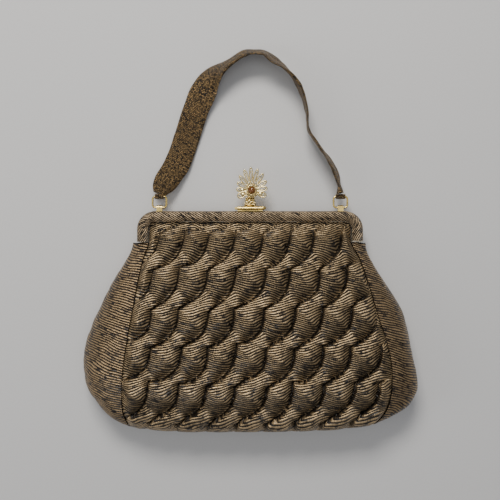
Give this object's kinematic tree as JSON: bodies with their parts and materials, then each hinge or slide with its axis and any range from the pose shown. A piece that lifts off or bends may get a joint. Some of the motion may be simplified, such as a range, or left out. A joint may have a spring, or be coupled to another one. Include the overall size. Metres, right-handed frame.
{
  "type": "clutch purse",
  "caption": "Evening frame purse with ruched lame body, side gussets, hinged covered frame, jewelled flip clasp and a soft strap handle.",
  "frame": {"origin": "on the flat back panel, under the middle of the frame's hinge line", "axes": "+X across the bag to its right seen from the front, +Y from the hinge line up to the clasp and handle, +Z from the back panel to the front"},
  "size_m": [0.2432, 0.2798, 0.0358],
  "materials": {
    "lame_cloth": "woven metallic ribs on black",
    "ribbed_cover": "diagonal metallic ribs",
    "cotton_cord": "matte",
    "plated_steel": "satin",
    "gold_plate": "polished",
    "pale_gold": "polished",
    "amber_glass": "polished",
    "clear_glass": "faceted",
    "felt": "matte",
    "satin": "satin sheen"
  },
  "bodies": {
    "bag": {"frame_back": "plated_steel", "frame_back_cover": "ribbed_cover", "frame_back_cord": "cotton_cord", "hinge_rivets": "plated_steel", "handle_lugs": "gold_plate", "clasp_catch": "gold_plate", "back_panel": "lame_cloth", "front_panel": "lame_cloth", "gusset_left": "lame_cloth", "gusset_right": "lame_cloth", "front_panel_fold": "lame_cloth", "interlining_front": "felt", "interlining_back": "felt", "lining_front": "satin", "lining_back": "satin", "inner_pocket": "satin"},
    "front_frame": {"frame_front": "plated_steel", "frame_front_cover": "ribbed_cover", "frame_front_cord": "cotton_cord", "front_panel_top": "lame_cloth", "clasp_base": "gold_plate", "clasp_rivets": "plated_steel", "clasp_pin": "plated_steel", "clasp_spring": "plated_steel"},
    "clasp_lever": {"clasp_lever": "gold_plate", "ornament_stem": "pale_gold", "ornament_petals": "pale_gold", "stone_claws": "pale_gold", "amber_stone": "amber_glass", "rhinestones": "clear_glass"},
    "handle": {"handle_strap": "lame_cloth", "handle_core": "felt", "ring_left": "gold_plate", "ring_right": "gold_plate"}
  },
  "joints": [
    {"name": "frame_hinge", "type": "hinge", "parent": "bag", "child": "front_frame", "pos_m": [0, 0, 0.013], "axis": [1, 0, 0], "range_deg": [0, 60], "deforming": ["front_panel_fold", "lining_front"]},
    {"name": "clasp_flip", "type": "hinge", "parent": "front_frame", "child": "clasp_lever", "pos_m": [0, 0.03, 0.0186], "axis": [1, 0, 0], "range_deg": [0, 35], "stiffness_Nm_per_rad": 0.01, "springref_deg": -11.46},
    {"name": "handle_swing", "type": "hinge", "parent": "bag", "child": "handle", "pos_m": [0, 0.031, 0.0106], "axis": [1, 0, 0], "range_deg": [-90, 90]}
  ]
}
